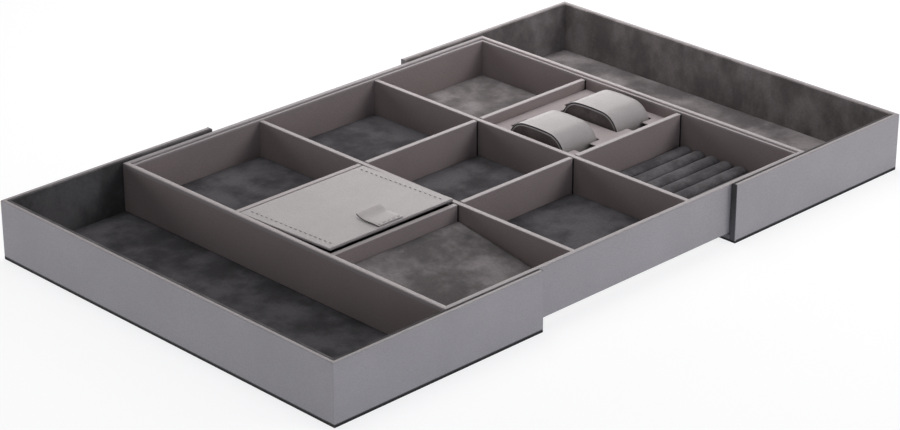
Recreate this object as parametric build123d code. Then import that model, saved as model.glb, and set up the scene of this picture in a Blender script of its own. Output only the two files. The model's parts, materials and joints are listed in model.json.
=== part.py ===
"""Extending jewelry organizer for a drawer: a compartmented middle tray that rides in two
open end trays, with a hinged lid, two watch cushions in a cut-out plate and a block of ring rolls.

Millimetres. +X is the direction in which the end trays slide out, +Y runs across the trays and
+Z is up. The origin is on the surface it stands on, under the middle of the tray.
"""
from build123d import *
import math
import os

os.makedirs("parts", exist_ok=True)

# Middle tray
TRAY_LENGTH = 512.0
TRAY_WIDTH = 463.2
TRAY_HEIGHT = 52.6
TRAY_WALL = 5.6
TRAY_BOTTOM = 5.0
LINER_THICK = 3.0
LINER_DROP = 1.9          # liner tops lie this far under the tray's rim
FLOOR_PAD = 6.4
DIVIDER_THICK = 5.6
DIVIDER_DROP = 3.3        # divider tops lie this far under the tray's rim
DIVIDER_GAP = 1.3         # short divider to long divider, each end
MIDDLE_COLUMN = 158.4     # clear width of the middle column of compartments
COLUMN_SHIFT = 2.8        # the middle column's centre lies this far towards +X
MIDDLE_ROW = 131.2        # clear width of the middle row
ROW_SHIFT = -0.9          # the middle row's centre, along Y
WALL_ROUND = 1.3          # edge radius of a leather covered wall
DIVIDER_ROUND = 0.7
THIN_ROUND = 0.9          # edge radius of the thin boards
CORNER_ROUND = 0.6        # upright edges at mitres and butt joints

# End trays
SLEEVE_LENGTH = 262.0
SLEEVE_MOUTH = 138.0      # from the middle to an end tray's open end, as it stands
SLEEVE_HEIGHT = 63.3
SLEEVE_BASE = 2.4
SLEEVE_FLOOR_PAD = 6.2
SLEEVE_BOARD = 4.4        # outer leather board
SLEEVE_LINING = 2.9       # inner suede board
SLEEVE_END_WRAP = 1.0     # lining wrapped over the wall's open end

# Running gaps and small fits
SIDE_GAP = 1.1            # tray to end tray lining, each side
UNDER_GAP = 0.4           # tray to end tray floor pad
FIT_GAP = 0.3             # loose fit of inserts and pads
NEAR = 0.01               # how close an edge must lie to be picked by its place

# Lid over one compartment
LID_BOARD = 1.9
LID_SUEDE = 0.9
LID_SIDE_GAP = 1.2        # to the compartment's sides
LID_FRONT_GAP = 0.5
LID_BACK_GAP = 1.3        # to the divider behind, where the leather hinge is
LID_SUEDE_INSET = 0.8
LID_AJAR = 2.2            # degrees, as it stands
LID_REST_BOARD = 3.0
HINGE_LEAF = 0.3

# Pull tab on the lid
TAB_WIDTH = 32.0
TAB_THICK = 1.5
TAB_EDGE = 2.5            # from the lid's front edge to the tab
TAB_SEWN = 4.0
TAB_HINGE_GAP = 1.2
TAB_FLAT = 11.5
TAB_CURL_RADIUS = 21.0
TAB_CURL_ANGLE = 36.0     # degrees

# Sloping floor of the shallow compartment: depths under the dividers' tops
SHALLOW_DEPTH = 15.8      # at the back
SLOPE_FRONT_DEPTH = 40.0  # at the front
SLOPE_PAD = 4.0           # upright thickness
RAIL_THICK = 6.0

# Watch plate and cushions
PLATE_DEPTH = 11.0        # from the dividers' tops to the plate
PLATE_THICK = 4.0
HOLE_LENGTH = 81.6
PLATE_LEFT_MARGIN = 12.7  # from the compartment's left side to the first cut-out
PLATE_RIGHT_MARGIN = 11.1
PLATE_WEB = 26.4          # between the two cut-outs
PLATE_BEVEL = 0.5
HOLE_CORNER = 1.2
NOTCH_WIDTH = 23.4
NOTCH_DEPTH = 9.2
CUSHION_LENGTH_GAP = 0.8  # cushion to cut-out, each end
CUSHION_SIDE_GAP = 1.35   # cushion to cut-out, each side
CUSHION_PROUD = 16.7      # crown above the plate
CUSHION_END_RADIUS = 24.0
CUSHION_CROWN_RADIUS = 220.0
CUSHION_FOOT_RADIUS = 7.0
BAND_THICK = 1.6
BAND_BEVEL = 0.8
BAND_SETBACK = 0.5        # band's edge behind the welt's outer face
WELT_INSET = 3.0          # from the cushion's outline to the welt
WELT_THICK = 1.2
WELT_PROUD = 1.1          # welt in front of the side panel

# Ring rolls
ROLL_COUNT = 8
ROLL_RISE = 7.4           # crest above the grooves
ROLL_CREST_DEPTH = 33.2   # from the dividers' tops to the crests
ROLL_GAP = 0.4
ROLL_BASE = 1.5
ROLL_END_DEPTH = 3.4      # length of a roll's domed end
ROLL_END_DROP = 2.6       # how far the dome's tip lies inside the roll's outline

# Heights
tray_z0 = SLEEVE_BASE + SLEEVE_FLOOR_PAD + UNDER_GAP
tray_z1 = tray_z0 + TRAY_HEIGHT
bottom_z = tray_z0 + TRAY_BOTTOM
floor_z = bottom_z + FLOOR_PAD
liner_z = tray_z1 - LINER_DROP
divider_z = tray_z1 - DIVIDER_DROP
plate_z = divider_z - PLATE_DEPTH
shallow_z = divider_z - SHALLOW_DEPTH
slope_front_z = divider_z - SLOPE_FRONT_DEPTH

# Plan of the middle tray: half sizes, and the clear spans of the columns and rows
half_x = TRAY_LENGTH / 2
half_y = TRAY_WIDTH / 2
wall_x = half_x - TRAY_WALL
wall_y = half_y - TRAY_WALL
clear_x = wall_x - LINER_THICK
clear_y = wall_y - LINER_THICK
middle_x = (COLUMN_SHIFT - MIDDLE_COLUMN / 2, COLUMN_SHIFT + MIDDLE_COLUMN / 2)
middle_y = (ROW_SHIFT - MIDDLE_ROW / 2, ROW_SHIFT + MIDDLE_ROW / 2)
columns = {
    "left": (-clear_x, middle_x[0] - DIVIDER_THICK),
    "middle": middle_x,
    "right": (middle_x[1] + DIVIDER_THICK, clear_x),
}
rows = {
    "front": (-clear_y, middle_y[0] - DIVIDER_THICK),
    "centre": middle_y,
    "back": (middle_y[1] + DIVIDER_THICK, clear_y),
}

# Plan of an end tray, measured outwards from the middle
sleeve_end = SLEEVE_MOUTH + SLEEVE_LENGTH
lining_y = half_y + SIDE_GAP
board_y = lining_y + SLEEVE_LINING
sleeve_y = board_y + SLEEVE_BOARD
board_x = sleeve_end - SLEEVE_BOARD
lining_x = board_x - SLEEVE_LINING


def save(node, shape):
    """Write one sub-part under its own name."""
    shape.label = node
    export_step(shape, f"parts/{node}.step")


def block(x_span, y_span, z_span):
    """A plain block between two values on each axis."""
    low_corner = (x_span[0], y_span[0], z_span[0])
    size = (x_span[1] - x_span[0], y_span[1] - y_span[0], z_span[1] - z_span[0])
    return Pos(*low_corner) * Box(*size, align=Align.MIN)


def slab(points, z0, z1):
    """An upright board with the given outline in plan."""
    return extrude(Pos(0, 0, z0) * Polygon(*points), z1 - z0, dir=(0, 0, 1))


def edges_at(shape, **places):
    """The edges whose middles lie at the given x, y or z."""
    edges = shape.edges()
    for name, value in places.items():
        axis = {"x": Axis.X, "y": Axis.Y, "z": Axis.Z}[name]
        edges = edges.filter_by_position(axis, value - NEAR, value + NEAR)
    return edges


def round_rim(shape, z, radius):
    """Round all the edges at one height."""
    return fillet(edges_at(shape, z=z), radius)


def round_long_edges(shape, axis, z, radius):
    """Round only the edges that run along one axis at one height."""
    return fillet(edges_at(shape, z=z).filter_by(axis), radius)


def shrink(span, amount):
    """A span with both ends drawn in."""
    return (span[0] + amount, span[1] - amount)


def frame_board(side, outer, inner, z0, z1, radius):
    """One of four mitred boards between an outer and an inner half size in plan."""
    (ox, oy), (ix, iy) = outer, inner
    outline = {
        "front": [(-ox, -oy), (ox, -oy), (ix, -iy), (-ix, -iy)],
        "back": [(-ox, oy), (-ix, iy), (ix, iy), (ox, oy)],
        "left": [(-ox, -oy), (-ix, -iy), (-ix, iy), (-ox, oy)],
        "right": [(ox, -oy), (ox, oy), (ix, iy), (ix, -iy)],
    }[side]
    along = Axis.X if side in ("front", "back") else Axis.Y
    return round_long_edges(slab(outline, z0, z1), along, z1, radius)


def mitred_frame(name, outer, inner, z0, z1, radius):
    for side in ("front", "back", "left", "right"):
        save(f"{name}_{side}", frame_board(side, outer, inner, z0, z1, radius))


def support_rails(x_span, y_span, z_span, middle):
    """Upright rails under a raised plate: front, back, both sides and one in between."""
    inner_y = shrink(y_span, RAIL_THICK)
    return Compound(children=[
        block(x_span, (y_span[0], inner_y[0]), z_span),
        block(x_span, (inner_y[1], y_span[1]), z_span),
        block((x_span[0], x_span[0] + RAIL_THICK), inner_y, z_span),
        block((x_span[1] - RAIL_THICK, x_span[1]), inner_y, z_span),
        block((middle - RAIL_THICK / 2, middle + RAIL_THICK / 2), inner_y, z_span),
    ])


def end_tray(name, side):
    """One end tray. side is -1 for the left one and +1 for the right one."""
    pad_top = SLEEVE_BASE + SLEEVE_FLOOR_PAD
    rim = SLEEVE_HEIGHT
    wrap_x = SLEEVE_MOUTH + SLEEVE_END_WRAP

    def place(points):
        turned = [(side * x, y) for x, y in points]
        return turned if side > 0 else turned[::-1]

    base_outline = [
        (SLEEVE_MOUTH, -sleeve_y),
        (sleeve_end, -sleeve_y),
        (sleeve_end, sleeve_y),
        (SLEEVE_MOUTH, sleeve_y),
    ]
    save(f"{name}_base_plate", slab(place(base_outline), 0, SLEEVE_BASE))

    pad_outline = [
        (SLEEVE_MOUTH, -lining_y),
        (lining_x, -lining_y),
        (lining_x, lining_y),
        (SLEEVE_MOUTH, lining_y),
    ]
    pad = slab(place(pad_outline), SLEEVE_BASE, pad_top)
    mouth_edge = edges_at(pad, x=side * SLEEVE_MOUTH, z=pad_top)
    save(f"{name}_floor_pad", fillet(mouth_edge, THIN_ROUND))

    for label, y_side in (("front", -1), ("back", 1)):
        board = [
            (wrap_x, y_side * sleeve_y),
            (sleeve_end, y_side * sleeve_y),
            (board_x, y_side * board_y),
            (wrap_x, y_side * board_y),
        ]
        lining = [
            (SLEEVE_MOUTH, y_side * sleeve_y),
            (wrap_x, y_side * sleeve_y),
            (wrap_x, y_side * board_y),
            (board_x, y_side * board_y),
            (lining_x, y_side * lining_y),
            (SLEEVE_MOUTH, y_side * lining_y),
        ]
        if y_side > 0:
            board.reverse()
            lining.reverse()
        wall = slab(place(board), SLEEVE_BASE, rim)
        save(f"{name}_{label}_wall", round_long_edges(wall, Axis.X, rim, THIN_ROUND))
        skin = slab(place(lining), SLEEVE_BASE, rim)
        inner_edge = edges_at(skin, y=y_side * lining_y, z=rim)
        save(f"{name}_{label}_lining", fillet(inner_edge, THIN_ROUND))

    end_board = [
        (board_x, -board_y),
        (sleeve_end, -sleeve_y),
        (sleeve_end, sleeve_y),
        (board_x, board_y),
    ]
    wall = slab(place(end_board), SLEEVE_BASE, rim)
    save(f"{name}_end_wall", round_long_edges(wall, Axis.Y, rim, THIN_ROUND))
    end_lining = [
        (lining_x, -lining_y),
        (board_x, -board_y),
        (board_x, board_y),
        (lining_x, lining_y),
    ]
    skin = slab(place(end_lining), SLEEVE_BASE, rim)
    save(f"{name}_end_lining", round_long_edges(skin, Axis.Y, rim, THIN_ROUND))


def middle_tray():
    """Bottom board, mitred walls, liner boards and dividers."""
    inside = ((-wall_x, wall_x), (-wall_y, wall_y))
    save("tray_bottom_board", block(*inside, (tray_z0, bottom_z)))
    wall_outer, wall_inner = (half_x, half_y), (wall_x, wall_y)
    mitred_frame("tray_wall", wall_outer, wall_inner, tray_z0, tray_z1, WALL_ROUND)
    liner_inner = (clear_x, clear_y)
    mitred_frame("tray_liner", wall_inner, liner_inner, bottom_z, liner_z, THIN_ROUND)

    long_dividers = {
        "left": (columns["left"][1], columns["middle"][0]),
        "right": (columns["middle"][1], columns["right"][0]),
    }
    for label, faces in long_dividers.items():
        board = block(faces, (-clear_y, clear_y), (bottom_z, divider_z))
        save(f"long_divider_{label}", round_long_edges(board, Axis.Y, divider_z, DIVIDER_ROUND))

    short_dividers = {
        "front": (rows["front"][1], rows["centre"][0]),
        "back": (rows["centre"][1], rows["back"][0]),
    }
    for row, faces in short_dividers.items():
        for column, span in columns.items():
            board = block(shrink(span, DIVIDER_GAP), faces, (bottom_z, divider_z))
            save(f"short_divider_{row}_{column}", round_rim(board, divider_z, DIVIDER_ROUND))


def compartment_floors():
    """Suede covered pads that fill the floors of the deep compartments."""
    deep = {
        "floor_pad_back_left": ("left", "back"),
        "floor_pad_back_middle": ("middle", "back"),
        "floor_pad_back_right": ("right", "back"),
        "floor_pad_centre": ("middle", "centre"),
        "floor_pad_front_middle": ("middle", "front"),
        "floor_pad_lidded": ("left", "centre"),
        "floor_pad_watches": ("right", "centre"),
    }
    for node, (column, row) in deep.items():
        x_span = shrink(columns[column], FIT_GAP)
        y_span = shrink(rows[row], FIT_GAP)
        pad = block(x_span, y_span, (bottom_z, floor_z))
        save(node, round_rim(pad, floor_z, THIN_ROUND))


def sloping_floor():
    """The shallow compartment's floor, which falls towards the front, and its rails."""
    x_span = shrink(columns["left"], FIT_GAP)
    y_span = shrink(rows["front"], FIT_GAP)
    length = x_span[1] - x_span[0]

    def wedge(back, front, back_under, front_under):
        """A solid along X between heights at the back and at the front."""
        corners = [
            (0, y_span[0], front_under),
            (0, y_span[1], back_under),
            (0, y_span[1], back),
            (0, y_span[0], front),
        ]
        outline = [Line(corners[i], corners[(i + 1) % 4]) for i in range(4)]
        return Pos(x_span[0], 0, 0) * extrude(make_face(outline), length, dir=(1, 0, 0))

    pad_back, pad_front = shallow_z - SLOPE_PAD, slope_front_z - SLOPE_PAD
    pad = wedge(shallow_z, slope_front_z, pad_back, pad_front)
    top = max(pad.faces(), key=lambda face: face.normal_at().Z)
    save("shallow_floor_pad", fillet(top.edges(), THIN_ROUND))

    under = wedge(pad_back, pad_front, bottom_z, bottom_z)
    hollow_x = shrink(x_span, RAIL_THICK)
    hollow_y = shrink(y_span, RAIL_THICK)
    middle = (x_span[0] + x_span[1]) / 2
    hollow_z = (bottom_z - RAIL_THICK, shallow_z)
    rails = under - block((hollow_x[0], middle - RAIL_THICK / 2), hollow_y, hollow_z)
    rails -= block((middle + RAIL_THICK / 2, hollow_x[1]), hollow_y, hollow_z)
    save("shallow_floor_rails", rails)


# The lid turns about the top edge of the leather leaf on the divider behind it
hinge_y = rows["centre"][1] - (HINGE_LEAF + LID_BACK_GAP) / 2
hinge_z = divider_z
hinge = Axis((0, hinge_y, hinge_z), (-1, 0, 0))
lid_x = shrink(columns["left"], LID_SIDE_GAP)
lid_y = (rows["centre"][0] + LID_FRONT_GAP, rows["centre"][1] - LID_BACK_GAP)
lid_under = divider_z - LID_BOARD - LID_SUEDE
tab_x = ((lid_x[0] + lid_x[1] - TAB_WIDTH) / 2, (lid_x[0] + lid_x[1] + TAB_WIDTH) / 2)
tab_hinge_y = lid_y[0] + TAB_EDGE + TAB_SEWN + FIT_GAP


def as_it_stands(shape):
    """Turn a piece of the closed lid to where the lid stands."""
    return shape.rotate(hinge, LID_AJAR)


def lidded_compartment():
    """Lid, the boards that it rests on and the fixed leaf of its leather hinge."""
    board = block(lid_x, lid_y, (divider_z - LID_BOARD, divider_z))
    board = fillet(board.edges().filter_by(Axis.Z), CORNER_ROUND)
    save("lid_board", as_it_stands(round_rim(board, divider_z, THIN_ROUND)))
    suede_x = shrink(lid_x, LID_SUEDE_INSET)
    suede_y = shrink(lid_y, LID_SUEDE_INSET)
    suede = block(suede_x, suede_y, (lid_under, divider_z - LID_BOARD))
    save("lid_suede_underside", as_it_stands(suede))

    rest_z = lid_under - FIT_GAP
    x_span, y_span = columns["left"], rows["centre"]
    inner_x, inner_y = shrink(x_span, LID_REST_BOARD), shrink(y_span, LID_REST_BOARD)
    z_span = (floor_z, rest_z)
    boards = [
        block(x_span, (y_span[0], inner_y[0]), z_span),
        block(x_span, (inner_y[1], y_span[1]), z_span),
        block((x_span[0], inner_x[0]), inner_y, z_span),
        block((inner_x[1], x_span[1]), inner_y, z_span),
    ]
    save("lidded_compartment_lining", Compound(children=boards))
    leaf = block(lid_x, (y_span[1] - HINGE_LEAF, y_span[1]), (rest_z, divider_z - DIVIDER_ROUND))
    save("lid_hinge_leaf", leaf)


def pull_tab():
    """The sewn end, which stays on the lid, and the free strip that curls up."""
    sewn_y = (lid_y[0] + TAB_EDGE, lid_y[0] + TAB_EDGE + TAB_SEWN)
    sewn = block(tab_x, sewn_y, (divider_z, divider_z + TAB_THICK))
    save("pull_tab_sewn_end", as_it_stands(sewn))

    start = tab_hinge_y + TAB_HINGE_GAP - FIT_GAP
    under = divider_z + FIT_GAP
    centre = under + TAB_CURL_RADIUS
    curl = math.radians(TAB_CURL_ANGLE)

    def curl_point(radius, angle):
        y = start + TAB_FLAT + radius * math.sin(angle)
        return (0, y, centre - radius * math.cos(angle))

    outer, inner = TAB_CURL_RADIUS, TAB_CURL_RADIUS - TAB_THICK
    lower = [curl_point(outer, curl * share) for share in (0, 0.5, 1)]
    upper = [curl_point(inner, curl * share) for share in (1, 0.5, 0)]
    outline = [
        Line((0, start, under), lower[0]),
        ThreePointArc(*lower),
        Line(lower[2], upper[0]),
        ThreePointArc(*upper),
        Line(upper[2], (0, start, under + TAB_THICK)),
        Line((0, start, under + TAB_THICK), (0, start, under)),
    ]
    strip = extrude(make_face(outline), TAB_WIDTH, dir=(1, 0, 0))
    save("pull_tab", as_it_stands(Pos(tab_x[0], 0, 0) * strip))


# Watch plate and cushions
holes_x = (columns["right"][0] + PLATE_LEFT_MARGIN, columns["right"][1] - PLATE_RIGHT_MARGIN)
hole_width = (holes_x[1] - holes_x[0] - PLATE_WEB) / 2
watch_x = (holes_x[0] + holes_x[1]) / 2
hole_xs = {"left": holes_x[0] + hole_width / 2, "right": holes_x[1] - hole_width / 2}
cushion_half = HOLE_LENGTH / 2 - CUSHION_LENGTH_GAP
cushion_width = hole_width - 2 * CUSHION_SIDE_GAP
cushion_z0 = floor_z + FIT_GAP
cushion_z1 = plate_z + CUSHION_PROUD


def watch_plate():
    """Leather covered plate with two cut-outs, each with a finger notch at both ends."""
    x_span = shrink(columns["right"], FIT_GAP)
    y_span = shrink(rows["centre"], FIT_GAP)
    plate = block(x_span, y_span, (plate_z - PLATE_THICK, plate_z))
    for x in hole_xs.values():
        hole = Rectangle(hole_width, HOLE_LENGTH)
        hole += Rectangle(NOTCH_WIDTH, HOLE_LENGTH + 2 * NOTCH_DEPTH)
        hole = fillet(hole.vertices(), HOLE_CORNER)
        cutter = extrude(Pos(x, 0, plate_z - 2 * PLATE_THICK) * hole, 3 * PLATE_THICK)
        plate -= cutter
    save("watch_plate", chamfer(edges_at(plate, z=plate_z), PLATE_BEVEL))
    rails = support_rails(x_span, y_span, (floor_z, plate_z - PLATE_THICK), watch_x)
    save("watch_plate_rails", rails)


def loaf_outline(inset):
    """The cushion's outline across its length, drawn in by an amount, in the YZ plane.

    A flat foot with rounded corners, upright ends that turn over in quarter rounds, and a
    wide crown arc that meets the end rounds without a corner.
    """
    half = cushion_half - inset
    top, foot = cushion_z1 - inset, cushion_z0 + inset
    crown_radius = CUSHION_CROWN_RADIUS - inset
    end_radius = CUSHION_END_RADIUS - inset
    foot_radius = CUSHION_FOOT_RADIUS - inset
    end_y = half - end_radius
    crown_z = top - crown_radius
    end_z = crown_z + math.sqrt((crown_radius - end_radius) ** 2 - end_y ** 2)
    meet = math.atan2(end_z - crown_z, end_y)

    def arc_point(sign, y, z, radius, angle):
        return (0, sign * (y + radius * math.cos(angle)), z + radius * math.sin(angle))

    def end_round(sign):
        angles = (0, meet / 2, meet)
        return [arc_point(sign, end_y, end_z, end_radius, angle) for angle in angles]

    def foot_round(sign):
        angles = (0, -math.pi / 4, -math.pi / 2)
        y, z = half - foot_radius, foot + foot_radius
        return [arc_point(sign, y, z, foot_radius, angle) for angle in angles]

    back, front = end_round(1), end_round(-1)
    back_foot, front_foot = foot_round(1), foot_round(-1)
    return make_face([
        ThreePointArc(front[2], (0, 0, top), back[2]),
        ThreePointArc(*back),
        Line(back[0], back_foot[0]),
        ThreePointArc(*back_foot),
        Line(back_foot[2], front_foot[2]),
        ThreePointArc(*front_foot),
        Line(front_foot[0], front[0]),
        ThreePointArc(*front),
    ])


def loaf(inset, width):
    """A solid of the cushion's outline, centred on X."""
    return Pos(-width / 2, 0, 0) * extrude(loaf_outline(inset), width, dir=(1, 0, 0))


def watch_cushion(name, x):
    """Suede core, leather band round it, and a welt round each side panel."""
    place = Pos(x, 0, 0)
    panel_width = cushion_width - 2 * WELT_PROUD
    save(f"{name}_core", place * loaf(BAND_THICK, panel_width))

    band_width = cushion_width - 2 * BAND_SETBACK
    band = loaf(0, band_width)
    ends = band.faces().filter_by(Axis.X)
    band = chamfer(ends.edges(), BAND_BEVEL)
    save(f"{name}_band", place * (band - loaf(BAND_THICK, cushion_width)))

    ring = loaf(WELT_INSET, cushion_width) - loaf(WELT_INSET + WELT_THICK, cushion_width)
    panel = block((-panel_width / 2, panel_width / 2), (-cushion_half, cushion_half),
                  (cushion_z0, cushion_z1))
    save(f"{name}_welts", place * (ring - panel))


def ring_rolls():
    """Suede rolls side by side on a board, with domed ends."""
    x_span = shrink(columns["right"], FIT_GAP)
    y_span = rows["front"]
    base_z = bottom_z + ROLL_BASE
    save("ring_roll_base", block(x_span, shrink(y_span, FIT_GAP), (bottom_z, base_z)))
    pitch = (y_span[1] - y_span[0]) / ROLL_COUNT
    half = (pitch - ROLL_GAP) / 2
    crest = divider_z - ROLL_CREST_DEPTH
    groove = crest - ROLL_RISE

    def outline(x, y, inset):
        left, right, top = y - half + inset, y + half - inset, crest - inset
        return make_face([
            ThreePointArc((x, left, groove), (x, y, top), (x, right, groove)),
            Line((x, right, groove), (x, right, base_z)),
            Line((x, right, base_z), (x, left, base_z)),
            Line((x, left, base_z), (x, left, groove)),
        ])

    dome = [(0, ROLL_END_DROP), (0.3 * ROLL_END_DEPTH, 0.3 * ROLL_END_DROP), (ROLL_END_DEPTH, 0)]
    stations = [(x_span[0] + depth, drop) for depth, drop in dome]
    stations += [(x_span[1] - depth, drop) for depth, drop in reversed(dome)]
    rolls = []
    for index in range(ROLL_COUNT):
        y = y_span[0] + (index + 0.5) * pitch
        rolls.append(loft([outline(x, y, drop) for x, drop in stations], ruled=True))
    save("ring_rolls", Compound(children=rolls))


end_tray("left_end_tray", -1)
end_tray("right_end_tray", 1)
middle_tray()
compartment_floors()
sloping_floor()
lidded_compartment()
pull_tab()
watch_plate()
for side, hole_x in hole_xs.items():
    watch_cushion(f"watch_cushion_{side}", hole_x)
ring_rolls()
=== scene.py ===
"""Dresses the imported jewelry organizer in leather, suede and thread, and sets up its studio.

Metres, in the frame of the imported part: +X along the slide, +Y across the trays, +Z up.
"""

import json
import math

import bmesh
import bpy
from mathutils import Matrix, Vector, noise


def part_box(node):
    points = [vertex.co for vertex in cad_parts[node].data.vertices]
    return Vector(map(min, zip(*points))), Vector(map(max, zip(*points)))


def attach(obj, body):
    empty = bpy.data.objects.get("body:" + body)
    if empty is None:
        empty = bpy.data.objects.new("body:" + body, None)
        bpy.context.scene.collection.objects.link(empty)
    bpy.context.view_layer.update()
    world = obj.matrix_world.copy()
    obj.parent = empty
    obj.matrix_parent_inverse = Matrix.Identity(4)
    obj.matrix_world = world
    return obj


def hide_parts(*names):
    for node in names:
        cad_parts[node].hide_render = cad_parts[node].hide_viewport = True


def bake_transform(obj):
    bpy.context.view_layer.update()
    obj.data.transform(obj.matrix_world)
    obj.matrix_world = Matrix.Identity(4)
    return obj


bl_info = {
    "name": "Jewelry organizer",
    "version": (1, 0, 0),
    "blender": (4, 5, 0),
    "location": "View3D > Sidebar > Organizer",
    "description": "Dresses the extending jewelry organizer in leather, suede and thread",
    "category": "Object",
}

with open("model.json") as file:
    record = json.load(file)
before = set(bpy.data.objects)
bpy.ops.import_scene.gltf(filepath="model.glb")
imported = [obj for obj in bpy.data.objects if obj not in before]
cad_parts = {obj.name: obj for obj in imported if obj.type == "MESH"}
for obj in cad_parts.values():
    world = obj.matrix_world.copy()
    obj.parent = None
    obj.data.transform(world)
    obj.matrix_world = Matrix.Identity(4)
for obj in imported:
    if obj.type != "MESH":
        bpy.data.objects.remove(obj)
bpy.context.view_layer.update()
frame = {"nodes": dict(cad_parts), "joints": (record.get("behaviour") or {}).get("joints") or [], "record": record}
SLOT_OF = {row["node"]: row["material_slot"] for row in frame["record"]["subparts"]}
MM = 0.001


# Properties

def size(name, description, default):
    return bpy.props.FloatProperty(
        name=name, description=description, default=default, min=0, precision=5, unit="LENGTH")


def share(name, description, default):
    return bpy.props.FloatProperty(
        name=name, description=description, default=default, min=0, max=1, subtype="FACTOR")


def colour(name, description, default):
    return bpy.props.FloatVectorProperty(
        name=name, description=description, default=default, size=3, min=0, max=1,
        subtype="COLOR")


def power(name, description, default):
    return bpy.props.FloatProperty(
        name=name, description=description, default=default, min=0, unit="POWER")


class OrganizerColours(bpy.types.PropertyGroup):
    """Colours of the organizer's finishes."""

    leather: colour("Wall leather", "Leather on the outer walls", (0.302, 0.279, 0.289))
    # The inner leather is a warmer copy of the wall leather: painted light, the warm light bounced inside the
    # trays.
    inner_leather: colour(
        "Inner leather", "Leather on the dividers and inner walls", (0.313, 0.264, 0.264))
    lid_leather: colour("Lid leather", "Leather on the lid and its tab", (0.357, 0.334, 0.338))
    plate_leather: colour("Plate leather", "Leather on the watch plate", (0.328, 0.290, 0.297))
    cushion_leather: colour("Cushion leather", "Leather round the cushions", (0.346, 0.326, 0.331))
    floor_suede: colour("Floor suede", "Suede on most floors", (0.076, 0.073, 0.079))
    # The pale and dark suedes are copies of the floor and lining suedes with painted light and painted shade.
    floor_suede_pale: colour(
        "Floor suede, brushed up", "Suede on the floors whose nap stands up",
        (0.182, 0.169, 0.173))
    lining_suede: colour("Lining suede", "Suede inside the left end tray", (0.110, 0.105, 0.108))
    lining_suede_pale: colour(
        "Lining suede, brushed up", "Suede inside the right end tray", (0.198, 0.182, 0.182))
    lining_suede_dark: colour(
        "Lining suede, brushed down", "Suede round the front walls of the end trays",
        (0.072, 0.067, 0.070))
    roll_suede: colour("Roll suede", "Suede on the ring rolls", (0.098, 0.094, 0.101))
    cushion_suede: colour("Cushion suede", "Suede on the cushions' sides", (0.140, 0.122, 0.118))
    base_board: colour("Base board", "Dark paper on the base plates", (0.012, 0.011, 0.013))
    board: colour("Bare board", "Fibreboard under the covers", (0.28, 0.235, 0.19))
    thread: colour("Thread", "Stitches on the lid and its tab", (0.35, 0.332, 0.34))


class OrganizerSizes(bpy.types.PropertyGroup):
    """Sizes of the organizer's soft and sewn detail."""

    grain: size("Leather grain", "Width of one pebble of the leather grain", 0.0011)
    nap: size("Suede nap", "Width of the suede's fibre clumps", 0.0006)
    clouds: size("Suede clouds", "Width of the brushed marks on the floors", 0.050)
    pad_round: size("Pad edge", "Rounding along the edge of a floor pad", 0.0022)
    pad_crown: size("Pad crown", "How far a pad falls from its middle to its edge", 0.0006)
    roll_bumps: size("Roll unevenness", "How uneven the ring rolls are", 0.0003)
    stitch_pitch: size("Stitch pitch", "From one stitch on the lid to the next", 0.0070)
    stitch_length: size("Stitch length", "Length of one stitch", 0.0040)
    stitch_inset: size("Stitch inset", "From the lid's edge to its row of stitches", 0.0092)
    thread_radius: size("Thread radius", "Radius of the sewing thread", 0.00042)
    welt_radius: size("Welt radius", "Radius of the piping on a cushion", 0.0007)
    panel_puff: size("Panel puff", "How far a cushion's side panel stands out", 0.0007)


class OrganizerStudio(bpy.types.PropertyGroup):
    """Camera and light."""

    lens: bpy.props.FloatProperty(
        name="Lens", description="Focal length on a 36 mm wide sensor", default=109.9,
        min=10, unit="CAMERA")
    turn: bpy.props.FloatProperty(
        name="Camera turn", description="The camera's turn about the vertical",
        default=math.radians(-44.57), unit="ROTATION")
    rise: bpy.props.FloatProperty(
        name="Camera rise", description="The camera's height above the horizon",
        default=math.radians(24.57), unit="ROTATION")
    place: bpy.props.FloatVectorProperty(
        name="Camera place", description="Where the camera stands",
        default=(-1.7981, -1.8021, 1.1612), size=3, subtype="TRANSLATION")
    panels: power("Panels", "Power of the far panels, together", 90)
    overhead: power("Overhead", "Power of the softbox above", 30)
    near: power("Near", "Power of the near lights on the right, together", 4.6)
    floor_light: share("Floor light", "Light that the lit floor throws back", 0.64)
    floor_glow: share("Floor glow", "White that the camera sees on the floor anyway", 0.80)


# Materials

CHANNEL_REACH, CHANNEL_DEPTH = 1.6 * MM, 0.9
# how far out along Y the strip round an end tray's open end turns from suede to leather
WRAP_FACE = (239.2 * MM, 239.5 * MM)


class Value:
    """A node's output, for use in Python expressions."""

    def __init__(self, tree, socket):
        self.tree = tree
        self.socket = socket

    def combine(self, operation, other, swapped=False):
        node = self.tree.nodes.new("ShaderNodeMath")
        node.operation = operation
        pair = (other, self) if swapped else (self, other)
        for index, item in enumerate(pair):
            if isinstance(item, Value):
                self.tree.links.new(item.socket, node.inputs[index])
            else:
                node.inputs[index].default_value = item
        return Value(self.tree, node.outputs[0])

    def __add__(self, other):
        return self.combine("ADD", other)

    def __sub__(self, other):
        return self.combine("SUBTRACT", other)

    def __rsub__(self, other):
        return self.combine("SUBTRACT", other, True)

    def __mul__(self, other):
        return self.combine("MULTIPLY", other)

    def __abs__(self):
        return self.combine("ABSOLUTE", 0.0)

    __radd__ = __add__
    __rmul__ = __mul__


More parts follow.
